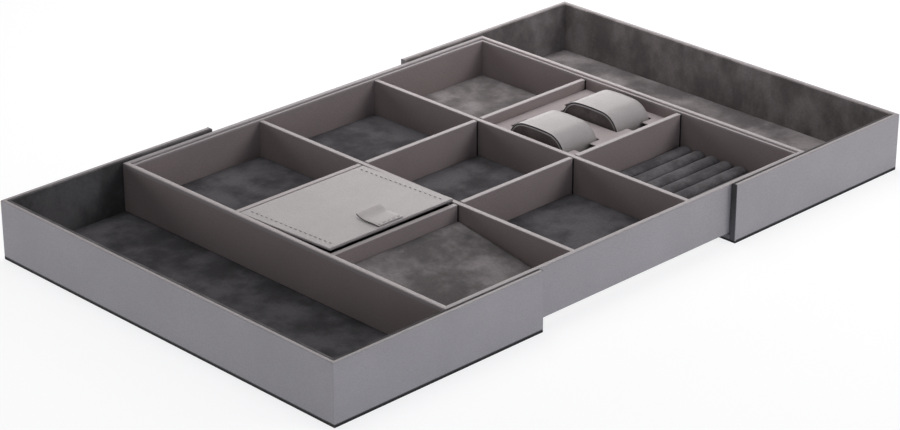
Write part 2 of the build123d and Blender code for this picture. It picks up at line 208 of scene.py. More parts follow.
class Finish:
    """A node tree that is built one node at a time."""

    def __init__(self, tree):
        self.tree = tree
        tree.nodes.clear()

    def node(self, kind, settings=None, sockets=None, output=0):
        """Add a node: its settings first, then its sockets' values or links."""
        node = self.tree.nodes.new(kind)
        for name, value in (settings or {}).items():
            setattr(node, name, value)
        for key, value in (sockets or {}).items():
            if isinstance(value, Value):
                self.tree.links.new(value.socket, node.inputs[key])
            else:
                node.inputs[key].default_value = value
        return Value(self.tree, node.outputs[output]) if node.outputs else None

    def part(self, place, axis):
        """One coordinate of a place."""
        return self.node("ShaderNodeSeparateXYZ", {}, {0: place}, axis)

    def noise(self, place, width, detail=2.0, roughness=0.5, output="Fac"):
        """Soft noise whose features are about as wide as given."""
        return self.node("ShaderNodeTexNoise", {}, {
            "Vector": place, "Scale": 1 / width, "Detail": detail, "Roughness": roughness,
        }, output)

    def spread(self, value, low, high, to_low=0.0, to_high=1.0):
        """Map low..high of a value smoothly to another range."""
        return self.node("ShaderNodeMapRange", {"interpolation_type": "SMOOTHSTEP"}, {
            "Value": value, "From Min": low, "From Max": high,
            "To Min": to_low, "To Max": to_high,
        })

    def blend(self, factor, first, second):
        """Mix two colours."""
        return self.node("ShaderNodeMix", {"data_type": "RGBA"}, {
            0: factor, 6: first, 7: second}, 2)


def scaled(rgb, factor):
    """A colour made darker or lighter, with its alpha."""
    return (*(min(1.0, part * factor) for part in rgb), 1.0)


def material(name):
    made = bpy.data.materials.new(name)
    made.use_nodes = True
    return made, Finish(made.node_tree)


def surface(tree, colour_value, roughness, height, depth, strength, **fixed):
    """Principled surface with a bump, whose other sockets are fixed numbers."""
    bump = tree.node("ShaderNodeBump", {}, {
        "Strength": strength, "Distance": depth, "Height": height})
    shader = tree.node("ShaderNodeBsdfPrincipled", {}, {
        "Base Color": colour_value, "Roughness": roughness, "Normal": bump, **fixed})
    tree.node("ShaderNodeOutputMaterial", {}, {"Surface": shader})


def leather(name, rgb, grain, channels=(), raw_edge_and_shadow=None, raw=0.06, painted_highlight=None):
    """Fine pebbled leather. Channels are the x places of pressed stitch lines.

    A dark-edge function gives 0 where the leather is painted dark and 1 elsewhere: on its dark cut
    edges, and at the foot of the end trays' outer walls, on a band that is raw edge and painted shadow
    where they meet the base plate. raw is the share of the leather's colour that such a place keeps.
    The highlight pair holds two heights, between which the colour changes to a paler painted
    highlight above, and the factors that it changes by.
    """
    made, tree = material(name)
    place = tree.node("ShaderNodeTexCoord", output="Object")
    wander = tree.noise(place, 3 * grain, output="Color")
    bent = tree.node("ShaderNodeVectorMath", {"operation": "MULTIPLY_ADD"}, {
        0: wander, 1: (1.1 * grain,) * 3, 2: place})
    pebble = tree.node("ShaderNodeTexVoronoi", {"feature": "DISTANCE_TO_EDGE"}, {
        "Vector": bent, "Scale": 1 / grain, "Randomness": 1.0}, "Distance")
    dome = tree.spread(pebble, 0.0, 0.28)
    pores = tree.noise(place, 0.3 * grain, 3.0, 0.6)
    drift = tree.noise(place, 0.06, 3.0, 0.55)
    height = dome * 0.75 + pores * 0.35
    for x in channels:
        away = abs(tree.part(place, "X") - x)
        height = height + tree.spread(away, 0.0, CHANNEL_REACH, -CHANNEL_DEPTH, 0.0)
    shade = tree.spread(dome + (drift - 0.5) * 1.4 + (pores - 0.5) * 0.5, 0.0, 1.25)
    tone = tree.blend(shade, scaled(rgb, 0.86), scaled(rgb, 1.07))
    # Painted highlight: the colour turns paler above the upper height.
    if painted_highlight:
        low, high, factors = painted_highlight
        painted_light_and_flecks = scaled([part * factor for part, factor in zip(rgb, factors)], 1.0)
        tone = tree.blend(above(low, high)(tree, place), tone, painted_light_and_flecks)
    # Dark cut edges, and at the outer walls' foot painted shadow as well.
    if raw_edge_and_shadow:
        tone = tree.blend(raw_edge_and_shadow(tree, place), scaled(rgb, raw), tone)
    rough = 0.62 - dome * 0.08 + (pores - 0.5) * 0.1
    surface(tree, tone, rough, height, 0.09 * MM, 0.55, **{"Specular IOR Level": 0.38})
    return made


def above(low, high):
    """A mask that is 0 below one height and 1 above another: it marks raw edges, painted shadow, painted shade in
    grooves and painted highlights.
    """
    def mask(tree, place):
        return tree.spread(tree.part(place, "Z"), low, high)
    return mask


def within_tab(tree, place):
    """A raw edge on both sides of the pull tab."""
    low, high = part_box("pull_tab_sewn_end")
    middle, half = (low.x + high.x) / 2, (high.x - low.x) / 2
    away = abs(tree.part(place, "X") - middle)
    return tree.spread(away, half - 0.3 * MM, half - 0.1 * MM, 1.0, 0.0)


def inside_covers(tree, place):
    """A raw edge on both sides of each watch cushion's cover."""
    left, right = (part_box(f"watch_cushion_{side}_band") for side in ("left", "right"))
    middle = (left[0].x + right[1].x) / 2
    apart = (right[0].x + right[1].x) / 2 - middle
    half = (left[1].x - left[0].x) / 2
    away = tree.part(place, "X")
    for shift in (middle, apart):
        away = abs(away - shift)
    return tree.spread(away, half - 0.75 * MM, half - 0.45 * MM, 1.0, 0.0)


def suede(name, rgb, nap, clouds, stretch=(1.0, 1.0, 1.0), contrast=0.42, groove_shade=None,
          mouth=None):
    """Brushed suede: cloudy light and dark marks over a short nap.

    Between the two shade heights the colour darkens to a quarter: painted shade in the
    grooves between the rolls. A mouth is the leather's colour on the outer face of the strip round
    an end tray's open end.
    """
    made, tree = material(name)
    place = tree.node("ShaderNodeTexCoord", output="Object")
    pulled = tree.node("ShaderNodeMapping", {}, {"Vector": place, "Scale": stretch})
    broad = tree.noise(pulled, clouds, 3.0, 0.5)
    small = tree.noise(pulled, 0.32 * clouds, 3.0, 0.6)
    brushed = tree.spread(broad * 0.72 + small * 0.28, 0.37, 0.63)
    fibre = tree.noise(place, nap, 3.0, 0.7)
    clumps = tree.noise(place, 5 * nap, 2.0, 0.6)
    tone = tree.blend(brushed, scaled(rgb, 1 - contrast), scaled(rgb, 1 + contrast))
    # Painted shade: darker towards the bottoms of the grooves.
    if groove_shade:
        tone = tree.blend(above(*groove_shade)(tree, place), scaled(rgb, 0.25), tone)
    if mouth:
        outer = tree.spread(abs(tree.part(place, "Y")), *WRAP_FACE)
        tone = tree.blend(outer, tone, scaled(mouth, 0.97))
    flecks = tree.spread(fibre * 0.6 + clumps * 0.4, 0.3, 0.7)
    specked = tree.blend(flecks, (0.82, 0.82, 0.82, 1.0), (1.16, 1.16, 1.16, 1.0))
    painted_light_and_flecks = tree.node("ShaderNodeMix", {"data_type": "RGBA", "blend_type": "MULTIPLY"}, {
        0: 1.0, 6: tone, 7: specked}, 2)
    height = fibre * 0.7 + clumps * 0.5 + brushed * 0.4
    surface(tree, painted_light_and_flecks, 0.95, height, 0.22 * MM, 0.5, **{
        "Specular IOR Level": 0.12, "Sheen Weight": 0.25, "Sheen Roughness": 0.45,
        "Sheen Tint": scaled(rgb, 4.0)})
    return made


def dark_paper(name, rgb):
    """Leather-look paper on the base plates."""
    made, tree = material(name)
    place = tree.node("ShaderNodeTexCoord", output="Object")
    pebble = tree.node("ShaderNodeTexVoronoi", {}, {
        "Vector": place, "Scale": 1400.0}, "Distance")
    scuff = tree.noise(place, 0.03, 4.0, 0.6)
    tone = tree.blend(tree.spread(scuff, 0.35, 0.65), scaled(rgb, 0.8), scaled(rgb, 1.4))
    surface(tree, tone, 0.55 + scuff * 0.2, pebble, 0.06 * MM, 0.5,
            **{"Specular IOR Level": 0.15})
    return made


def fibreboard(name, rgb):
    """Bare pressed board, only seen where nothing covers it."""
    made, tree = material(name)
    place = tree.node("ShaderNodeTexCoord", output="Object")
    chips = tree.noise(place, 1.5 * MM, 4.0, 0.7)
    tone = tree.blend(tree.spread(chips, 0.3, 0.7), scaled(rgb, 0.75), scaled(rgb, 1.2))
    surface(tree, tone, 0.85, chips, 0.1 * MM, 0.6)
    return made


def twisted_thread(name, rgb):
    """Sewing thread with the fine shade of its twist."""
    made, tree = material(name)
    place = tree.node("ShaderNodeTexCoord", output="Object")
    turned = tree.node("ShaderNodeMapping", {}, {
        "Vector": place, "Rotation": (0.0, 0.0, math.radians(40))})
    twist = tree.node("ShaderNodeTexWave", {"bands_direction": "Y"}, {
        "Vector": turned, "Scale": 900.0, "Distortion": 1.0}, "Fac")
    tone = tree.blend(twist, scaled(rgb, 0.75), scaled(rgb, 1.15))
    surface(tree, tone, 0.6, twist, 0.06 * MM, 0.5)
    return made


def finish_of(node):
    """The finish of a node: its slot's, or a copy of its leather or suede with painted light or painted shade."""
    # Painted shade on the end trays' front linings, and painted light on the listed floors, the lid's underside
    # and the right end tray's suede.
    if node.endswith("front_lining"):
        return "lining_suede_dark"
    # The dividers and inner walls take the warmer inner leather, with its painted light.
    inner = ("divider", "tray_liner", "tray_wall_left", "tray_wall_right")
    if SLOT_OF[node] == "leather" and any(part in node for part in inner):
        return "inner_leather"
    pale = node in ("floor_pad_back_right", "shallow_floor_pad", "lid_suede_underside") or (
        node.startswith("right_end_tray") and SLOT_OF[node].endswith("suede"))
    return SLOT_OF[node] + ("_pale" if pale else "")


def finishes():
    """All the finishes by name: the record's slots, their copies with painted light or painted shade, and the
    thread.
    """
    found = {made.name[len("finish_"):]: made for made in bpy.data.materials
             if made.name.startswith("finish_")}
    if found:
        return found
    hues = bpy.context.scene.organizer_colours
    sizes = bpy.context.scene.organizer_sizes
    grain, nap, clouds = sizes.grain, sizes.nap, sizes.clouds
    rows = stitch_rows()
    plate_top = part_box("watch_plate")[1].z
    base_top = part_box("left_end_tray_base_plate")[1].z
    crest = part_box("ring_rolls")[1].z
    divider_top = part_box("short_divider_back_left")[1].z
    tab_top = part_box("pull_tab_sewn_end")[1].z
    upright = {"stretch": (1.0, 1.0, 0.7), "mouth": hues.leather}
    return {
        # The end trays' outer walls darken towards their foot from 1.5 mm above the base plate: raw edge and
        # painted contact shadow.
        "leather": leather("finish_leather", hues.leather, grain,
                           raw_edge_and_shadow=above(base_top + 0.4 * MM, base_top + 1.5 * MM)),
        # Painted highlight: from 1.4 mm under the dividers' tops upward, this leather turns paler and less warm.
        "inner_leather": leather("finish_inner_leather", hues.inner_leather, grain,
                                 painted_highlight=(divider_top - 1.4 * MM, divider_top - 0.4 * MM,
                                         (1.086, 1.165, 1.187))),
        "lid_leather": leather("finish_lid_leather", hues.lid_leather, grain, rows),
        # The tab is the lid's leather painted 1.12 times lighter, and up to 1.3 times lighter again towards its
        # raised tip: painted light that evens out the shade of its curl.
        "tab_leather": leather("finish_tab_leather", scaled(hues.lid_leather, 1.12)[:3], grain,
                               raw_edge_and_shadow=within_tab, raw=0.25,
                               painted_highlight=(tab_top + 0.3 * MM, tab_top + 4.0 * MM,
                                       (1.30, 1.29, 1.28))),
        "plate_leather": leather("finish_plate_leather", hues.plate_leather, 0.8 * grain,
                                 raw_edge_and_shadow=above(plate_top - 0.9 * MM, plate_top - 0.5 * MM)),
        "cushion_leather": leather("finish_cushion_leather", hues.cushion_leather, grain,
                                   raw_edge_and_shadow=inside_covers),
        "floor_suede": suede("finish_floor_suede", hues.floor_suede, nap, clouds),
        # Copies of the suedes with painted light, and one with painted shade.
        "floor_suede_pale": suede("finish_floor_suede_pale", hues.floor_suede_pale, nap, clouds),
        "lining_suede": suede("finish_lining_suede", hues.lining_suede, nap, 0.8 * clouds,
                              contrast=0.3, **upright),
        "lining_suede_pale": suede("finish_lining_suede_pale", hues.lining_suede_pale, nap,
                                   0.8 * clouds, contrast=0.3, **upright),
        "lining_suede_dark": suede("finish_lining_suede_dark", hues.lining_suede_dark, nap,
                                   0.8 * clouds, contrast=0.3, **upright),
        # The rolls get painted shade in their grooves, from full colour 2.5 mm under the crests to a quarter at
        # 7.5 mm.
        "roll_suede": suede("finish_roll_suede", hues.roll_suede, nap, 0.4 * clouds,
                            (0.8, 1.0, 1.0), 0.3, (crest - 7.5 * MM, crest - 2.5 * MM)),
        "cushion_suede": suede("finish_cushion_suede", hues.cushion_suede, nap,
                               0.4 * clouds, contrast=0.2),
        "base_board": dark_paper("finish_base_board", hues.base_board),
        "board": fibreboard("finish_board", hues.board),
        "thread": twisted_thread("finish_thread", hues.thread),
    }


# Shapes

def cut_across(bm, axis, places):
    """Cut a mesh straight through at several places along one axis."""
    normal = Vector((0, 0, 0))
    normal[axis] = 1
    for place in places:
        spot = Vector((0, 0, 0))
        spot[axis] = place
        geometry = bm.verts[:] + bm.edges[:] + bm.faces[:]
        bmesh.ops.bisect_plane(bm, geom=geometry, dist=1e-7, plane_co=spot, plane_no=normal)


def block(bm, low, high):
    """A block between two corners."""
    middle, extent = (low + high) / 2, high - low
    matrix = Matrix.Translation(middle) @ Matrix.Diagonal((*extent, 1))
    bmesh.ops.create_cube(bm, size=1, matrix=matrix)


def shaped_grid(columns, rows, place):
    """A grid whose corners are carried to place(column, row), with touching ones merged."""
    bm = bmesh.new()
    bmesh.ops.create_grid(bm, x_segments=columns, y_segments=rows, size=0.5)
    for vert in bm.verts:
        column = round((vert.co.x + 0.5) * columns)
        row = round((vert.co.y + 0.5) * rows)
        vert.co = place(column, row)
    bmesh.ops.remove_doubles(bm, verts=bm.verts, dist=1e-6)
    bmesh.ops.dissolve_degenerate(bm, edges=bm.edges, dist=1e-7)
    bmesh.ops.recalc_face_normals(bm, faces=bm.faces)
    return bm


def piece(name, bm, body, slot, finish=None, nodes=(), crease=40):
    """Make a named piece from a bmesh: it rides on a body and stands for CAD nodes."""
    for edge in bm.edges:
        edge.smooth = edge.calc_face_angle(0.0) < math.radians(crease)
    for face in bm.faces:
        face.smooth = True
    mesh = bpy.data.meshes.new(name)
    bm.to_mesh(mesh)
    bm.free()
    mesh.materials.append(finish or finishes()[slot])
    made = bpy.data.objects.new(name, mesh)
    bpy.context.scene.collection.objects.link(made)
    if body:
        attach(made, body)
    if nodes:
        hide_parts(*nodes)
    return made


def ripple(point, width, seed=0.0):
    """A smooth random number from -1 to 1 at a point."""
    return noise.noise(Vector(point) / width + Vector((seed, 2 * seed, 3 * seed)))


def ease(value):
    value = max(0.0, min(1.0, value))
    return value * value * (3 - 2 * value)


# Floor pads

def steps_between(low, high, edge, step):
    """Places from low to high, close together near both ends."""
    near = [edge * part for part in (0.06, 0.2, 0.42, 0.7, 1.0, 1.8, 3.5)]
    inner_low, inner_high = low + near[-1], high - near[-1]
    count = max(2, round((inner_high - inner_low) / step))
    middle = [inner_low + (inner_high - inner_low) * i / count for i in range(1, count)]
    return [low + d for d in near] + middle + [high - d for d in reversed(near)]


def suede_pad(node, body, seed, thick=None):
    """A suede pad with rolled edges and a soft, slightly uneven top, in a node's place.

    A given thickness makes a pad that falls towards the front through its node's height,
    with a gap along its sides.
    """
    sizes = bpy.context.scene.organizer_sizes
    low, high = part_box(node)
    fall = high.z - low.z - thick if thick else 0.0
    low.z += fall
    if thick:
        low.x, high.x = low.x + 0.6 * MM, high.x - 1.0 * MM
    bm = bmesh.new()
    block(bm, low, high)
    edge = sizes.pad_round
    for axis in (0, 1):
        cut_across(bm, axis, steps_between(low[axis], high[axis], edge, 12 * MM))
    for vert in bm.verts:
        if vert.co.z < high.z - 1e-6:
            continue
        depths = [min(vert.co[a] - low[a], high[a] - vert.co[a]) for a in (0, 1)]
        drop = 0.0
        for depth in depths:
            out = max(0.0, 1 - depth / edge)
            drop += 0.6 * edge * (1 - math.sqrt(max(0.0, 1 - out * out)))
            drop += sizes.pad_crown * (1 - ease(depth / (28 * MM))) / 2
        drop += 0.00012 * (1 + ripple(vert.co, 0.035, seed))
        vert.co.z -= min(drop, 0.8 * edge + sizes.pad_crown)
    for vert in bm.verts:
        vert.co.z -= fall * (high.y - vert.co.y) / (high.y - low.y)
    pad = piece(f"{node}_suede", bm, body, "floor_suede", finishes()[finish_of(node)], (node,))


class ORGANIZER_OT_floor_pads(bpy.types.Operator):
    """Lay the suede floor pads of the middle tray and both end trays"""

    bl_idname = "organizer.floor_pads"
    bl_label = "Floor pads"

    def execute(self, context):
        tray = ["back_left", "back_middle", "back_right", "centre", "front_middle", "lidded",
                "watches"]
        nodes = [(f"floor_pad_{name}", "middle_tray") for name in tray]
        nodes += [(f"{side}_end_tray_floor_pad", f"{side}_end_tray") for side in ("left", "right")]
        for seed, (node, body) in enumerate(nodes):
            suede_pad(node, body, seed=1.7 * seed)
        suede_pad("shallow_floor_pad", "middle_tray", seed=0.6, thick=4.0 * MM)
        return {"FINISHED"}


# Ring rolls

def ring_roll(index, count, low, high):
    """One suede roll along X with domed ends, in its own slot of the block."""
    sizes = bpy.context.scene.organizer_sizes
    around, gap, dome, belly = 28, 0.1 * MM, 2.4 * MM, 2.2 * MM
    angles = [math.radians(a) for a in (0, 12, 26, 42, 58, 74, 90)]
    stations = [(low.x + gap + dome * (1 - math.cos(a)), math.sin(a)) for a in angles]
    start, end = stations[-1][0], high.x - (stations[-1][0] - low.x)
    body_cells = 22
    for cell in range(1, body_cells):
        stations.append((start + (end - start) * cell / body_cells, 1.0))
    for a in reversed(angles):
        stations.append((high.x - gap - dome * (1 - math.cos(a)), math.sin(a)))
    pitch = (high.y - low.y) / count
    middle_y = low.y + (index + 0.5) * pitch
    half = 0.5 * pitch - gap
    belly_z = low.z + belly
    rise, fall = high.z - belly_z - gap, belly_z - low.z

    def place(column, row):
        x, reach = stations[column]
        angle = 2 * math.pi * (row % around) / around
        side, up = math.cos(angle), math.sin(angle)
        reach = reach ** 0.75
        narrow = (0.35 + 0.65 * reach, min(1, 3 * reach))
        y = half * math.copysign(abs(side) ** 0.92, side) * narrow[0] * narrow[1]
        z = (rise if up > 0 else fall) * math.copysign(abs(up) ** 0.95, up) * reach
        sag = sizes.roll_bumps * ripple((x, middle_y, angle / 90), 0.022, index)
        squeeze = 1 - (max(0.0, up) * (0.5 * sizes.roll_bumps + sag) / rise)
        return Vector((x, middle_y + y, belly_z + z * squeeze))

    bm = shaped_grid(len(stations) - 1, around, place)
    roll = piece(f"ring_roll_{index + 1}", bm, "middle_tray", "roll_suede",
                 nodes=("ring_rolls",), crease=75)


class ORGANIZER_OT_ring_rolls(bpy.types.Operator):
    """Lay the block of eight suede ring rolls"""

    bl_idname = "organizer.ring_rolls"
    bl_label = "Ring rolls"

    def execute(self, context):
        low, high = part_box("ring_rolls")
        count = 8
        for index in range(count):
            ring_roll(index, count, low, high)
        return {"FINISHED"}


# Watch cushions

def loaf_outline(low, high, inset):
    """The cushion's outline in the YZ plane, drawn in by an amount.

    A flat foot with rounded corners, upright ends, quarter rounds and a wide crown arc.
    """
    half = (high.y - low.y) / 2 - inset
    top, foot = high.z - inset, low.z + inset
    crown_radius, end_radius, foot_radius = (r * MM - inset for r in (220.0, 24.0, 7.0))
    end_y = half - end_radius
    crown_z = top - crown_radius
    end_z = crown_z + math.sqrt((crown_radius - end_radius) ** 2 - end_y ** 2)
    meet = math.atan2(end_z - crown_z, end_y)
    foot_y, foot_z = half - foot_radius, foot + foot_radius
    right = []
    for i in range(12):
        angle = math.pi / 2 - (math.pi / 2 - meet) * i / 12
        right.append((crown_radius * math.cos(angle), crown_z + crown_radius * math.sin(angle)))
    for i in range(10):
        angle = meet * (1 - i / 10)
        right.append((end_y + end_radius * math.cos(angle), end_z + end_radius * math.sin(angle)))
    for i in range(5):
        right.append((half, end_z + (foot_z - end_z) * i / 5))
    for i in range(6):
        angle = -math.pi / 2 * i / 6
        right.append((foot_y + foot_radius * math.cos(angle),
                      foot_z + foot_radius * math.sin(angle)))
    for i in range(5):
        right.append((foot_y * (1 - i / 5), foot))
    left = [(-y, z) for y, z in reversed(right[1:])]
    return right + [(0.0, foot)] + left


def watch_cushion(side):
    """Leather cover with rolled edges, suede core with puffed panels, and two welts."""
    sizes = bpy.context.scene.organizer_sizes
    name = f"watch_cushion_{side}"
    body = f"{side}_watch_cushion"
    low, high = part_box(f"{name}_band")
    middle_x = (low.x + high.x) / 2
    cover_half = (high.x - low.x) / 2
    core_low, core_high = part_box(f"{name}_core")
    panel_half = (core_high.x - core_low.x) / 2
    thick, round_edge = 1.6 * MM, 1.1 * MM
    outline = {}

    def ring_point(index, inset):
        key = round(inset * 1e6)
        if key not in outline:
            outline[key] = loaf_outline(low, high, inset)
        ring = outline[key]
        return ring[index % len(ring)]

    around = len(loaf_outline(low, high, 0.0))
    seed = 3.0 if side == "left" else 8.0

    section = []
    cells = 14
    for i in range(cells + 1):
        section.append((-cover_half + round_edge + 2 * (cover_half - round_edge) * i / cells, 0.0))
    turn = [math.radians(a) for a in (18, 36, 54, 72, 90)]
    section += [(cover_half - round_edge * (1 - math.sin(a)), round_edge * (1 - math.cos(a)))
                for a in turn]
    section += [(cover_half - 0.15 * MM, thick), (cover_half - 0.6 * MM, thick + 0.25 * MM)]
    section += [(0.0, thick + 0.3 * MM)]
    section += [(-x, inset) for x, inset in reversed(section[cells + 1:-1])]

    def cover_place(column, row):
        x, inset = section[row % len(section)]
        y, z = ring_point(column, inset)
        edge = 1 - abs(x) / cover_half
        puff = 0.35 * MM * (1 - ease(edge * 4))
        swell = 0.22 * MM * (1 + ripple((x, y, z), 0.016, seed))
        depth = puff + swell * ease(edge * 5) if inset < 1e-9 else puff * 0.6
        y2, z2 = ring_point(column, inset + 1.0 * MM)
        y, z = y + (y2 - y) * depth / MM, z + (z2 - z) * depth / MM
        return Vector((middle_x + x, y, z))

    cover = piece(f"{name}_cover", shaped_grid(around, len(section), cover_place), body,
                  "cushion_leather", nodes=(f"{name}_band",), crease=60)

    centre_z = (low.z + high.z) / 2
    rings = [(0.0, 1.0), (0.3, 0.93), (0.55, 0.75), (0.75, 0.5), (0.9, 0.15), (0.97, 0.0)]
    half_section = [(span, panel_half + sizes.panel_puff * bulge) for span, bulge in rings]
    half_section += [(1.0, panel_half - 0.4 * MM), (1.0, 0.33 * panel_half)]
    core_section = [(s, -x) for s, x in half_section] + [(s, x) for s, x in reversed(half_section)]

    def core_place(column, row):
        span, x = core_section[row]
        y, z = ring_point(column, thick - 0.05 * MM)
        wave = 0.2 * MM * ripple((x, y, z), 0.012, seed) * (1 - span) * 2
        return Vector((middle_x + x + math.copysign(wave, x), y * span,
                       centre_z + (z - centre_z) * span))

    core = piece(f"{name}_padding", shaped_grid(around, len(core_section) - 1, core_place), body,
                 "cushion_suede", nodes=(f"{name}_core",), crease=60)

    welt_inset = 2.7 * MM
    facets = 10

    def welt_place(sign):
        def place(column, row):
            angle = 2 * math.pi * (row % facets) / facets
            inset = welt_inset + sizes.welt_radius * math.cos(angle)
            y, z = ring_point(column, inset)
            x = panel_half + 0.45 * MM + sizes.welt_radius * math.sin(angle)
            return Vector((middle_x + sign * x, y, z))
        return place

    for label, sign in (("left", -1), ("right", 1)):
        piece(f"{name}_{label}_welt", shaped_grid(around, facets, welt_place(sign)), body,
              "cushion_leather", finishes()["lid_leather"], (f"{name}_welts",), 80)


class ORGANIZER_OT_watch_cushions(bpy.types.Operator):
    """Make both watch cushions: leather cover, suede padding and welts"""

    bl_idname = "organizer.watch_cushions"
    bl_label = "Watch cushions"

    def execute(self, context):
        for side in ("left", "right"):
            watch_cushion(side)
        return {"FINISHED"}


# Lid: everything on it is laid out on the closed lid and then turned to where it stands

HINGE = next(j for j in frame["joints"] if j["name"] == "lid_hinge")
AJAR = math.radians(-HINGE["range_deg"][0])
LID_BOARD = 1.9 * MM


def as_it_stands(bm):
    """Turn a piece of the closed lid about the hinge to where the lid stands."""
    pivot = Matrix.Translation(Vector(HINGE["pos_m"]))
    turn = pivot @ Matrix.Rotation(-AJAR, 4, "X") @ pivot.inverted()
    bmesh.ops.transform(bm, matrix=turn, verts=bm.verts)


def lid_span():
    """The closed lid's sides, front edge, hinge line and top."""
    low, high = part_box("lid_board")
    hinge_y, top = HINGE["pos_m"][1], HINGE["pos_m"][2]
    reach = hinge_y - low.y - LID_BOARD * math.sin(AJAR)
    front = hinge_y - reach / math.cos(AJAR)
    return low.x, high.x, front, hinge_y, top


def stitch_rows():
    """The x places of the lid's two rows of stitches."""
    inset = bpy.context.scene.organizer_sizes.stitch_inset
    left, right = lid_span()[:2]
    return left + inset, right - inset


def add_stitch(bm, place, along, seed):
    """One stitch lying along X or Y, with its ends drawn into the leather."""
    sizes = bpy.context.scene.organizer_sizes
    new = bmesh.ops.create_uvsphere(bm, u_segments=8, v_segments=8, radius=1.0)["verts"]
    half = sizes.stitch_length / 2 * (1 + 0.06 * ripple((seed, 0, 0), 0.7))
    radius = sizes.thread_radius
    for vert in new:
        # the sphere's poles become the ends of the stitch
        end = math.copysign(abs(vert.co.z) ** 0.75, vert.co.z)
        slim = max(0.0, 1 - abs(end) ** 6)
        vert.co = Vector((vert.co.x * radius, end * half,
                          vert.co.y * radius + 0.9 * radius * slim - 0.35 * radius))
    if along == "X":
        bmesh.ops.rotate(bm, verts=new, cent=(0, 0, 0), matrix=Matrix.Rotation(math.pi / 2, 3, "Z"))
    lean = Matrix.Rotation(math.radians(3 * ripple((seed, 5, 0), 0.9)), 3, "Z")
    bmesh.ops.rotate(bm, verts=new, cent=(0, 0, 0), matrix=lean)
    bmesh.ops.translate(bm, verts=new, vec=place)


class ORGANIZER_OT_lid_stitches(bpy.types.Operator):
    """Sew the two rows of stitches along the lid's sides"""

    bl_idname = "organizer.lid_stitches"
    bl_label = "Lid stitches"

    def execute(self, context):
        sizes = context.scene.organizer_sizes
        _, _, front, back, top = lid_span()
        bm = bmesh.new()
        margin = 4 * MM
        count = int((back - front - 2 * margin) / sizes.stitch_pitch)
        start = (front + back - (count - 1) * sizes.stitch_pitch) / 2
        for x in stitch_rows():
            for index in range(count):
                y = start + index * sizes.stitch_pitch
                add_stitch(bm, Vector((x, y, top)), "Y", 31 * x + 0.37 * index)
        as_it_stands(bm)
        piece("lid_stitches", bm, "lid", "lid_leather", finishes()["thread"], crease=80)
        return {"FINISHED"}


# Pull tab

TAB_LENGTH, TAB_THICK, TAB_SEWN = 33.4 * MM, 1.5 * MM, 4.0 * MM
TAB_CURL_START, TAB_CURL_RADIUS = 18.0 * MM, 29.0 * MM


def tab_path(along, height):
    """From a length along the flat tab and a height in it to y and z past its sewn end."""
    lift = 0.3 * MM * ease((along - TAB_SEWN) / (2 * MM))
    if along < TAB_CURL_START:
        return along, lift + height
    angle = (along - TAB_CURL_START) / TAB_CURL_RADIUS
    radius = TAB_CURL_RADIUS - height
    return (TAB_CURL_START + radius * math.sin(angle),
            lift + TAB_CURL_RADIUS - radius * math.cos(angle))


def tab_box():
    """The closed tab's sides, sewn edge and underside."""
    low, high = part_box("pull_tab_sewn_end")
    _, _, front, _, top = lid_span()
    return low.x, high.x, front + 2.5 * MM, top


class ORGANIZER_OT_pull_tab(bpy.types.Operator):
    """Make the leather pull tab with its row of stitches"""

    bl_idname = "organizer.pull_tab"
    bl_label = "Pull tab"

    def execute(self, context):
        left, right, edge_y, top = tab_box()
        bm = bmesh.new()
        block(bm, Vector((left, 0, 0)), Vector((right, TAB_LENGTH, TAB_THICK)))
        free = [e for e in bm.edges
                if all(v.co.y > TAB_LENGTH / 2 for v in e.verts)
                and abs(e.verts[0].co.z - e.verts[1].co.z) > TAB_THICK / 2]
        bmesh.ops.bevel(bm, geom=free, offset=2.2 * MM, offset_type="OFFSET", affect="EDGES",
                        segments=5, profile=0.5, material=-1)
        rims = [e for e in bm.edges if abs(e.verts[0].co.z - e.verts[1].co.z) < 1e-7]
        bmesh.ops.bevel(bm, geom=rims, offset=0.4 * MM, offset_type="OFFSET", affect="EDGES",
                        segments=3, profile=0.5, material=-1)
        cut_across(bm, 1, [TAB_SEWN * part for part in (0.4, 0.7, 1.0, 1.2, 1.4, 1.6, 2.2, 3.0)])
        cut_across(bm, 1, [TAB_CURL_START + 1.0 * MM * i for i in range(-1, 15)])
        cut_across(bm, 0, [left + (right - left) * i / 6 for i in range(1, 6)])
        for vert in bm.verts:
            y, z = tab_path(vert.co.y, vert.co.z)
            across = (vert.co.x - left) / (right - left)
            cup = 0.5 * MM * ease((vert.co.y - TAB_CURL_START) / (14 * MM)) * (2 * across - 1) ** 2
            vert.co = Vector((vert.co.x, edge_y + y, top + z + cup))
        as_it_stands(bm)
        tab = piece("pull_tab_strip", bm, None, "lid_leather", finishes()["tab_leather"],
                    ("pull_tab", "pull_tab_sewn_end"))
        bend = next(j for j in frame["joints"] if j["name"] == "pull_tab_bend")["pos_m"]
        bend[1] - 1.5 * MM
        bend[1] + 2.5 * MM
        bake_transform(tab)

        stitches = bmesh.new()
        count = 5
        for index in range(count):
            x = left + (right - left) * (index + 0.5) / count
            place = Vector((x, edge_y + 2.4 * MM, top + TAB_THICK))
            add_stitch(stitches, place, "X", 7.3 + index)
        as_it_stands(stitches)
        piece("pull_tab_stitches", stitches, "lid", "lid_leather", finishes()["thread"],
              crease=80)
        return {"FINISHED"}


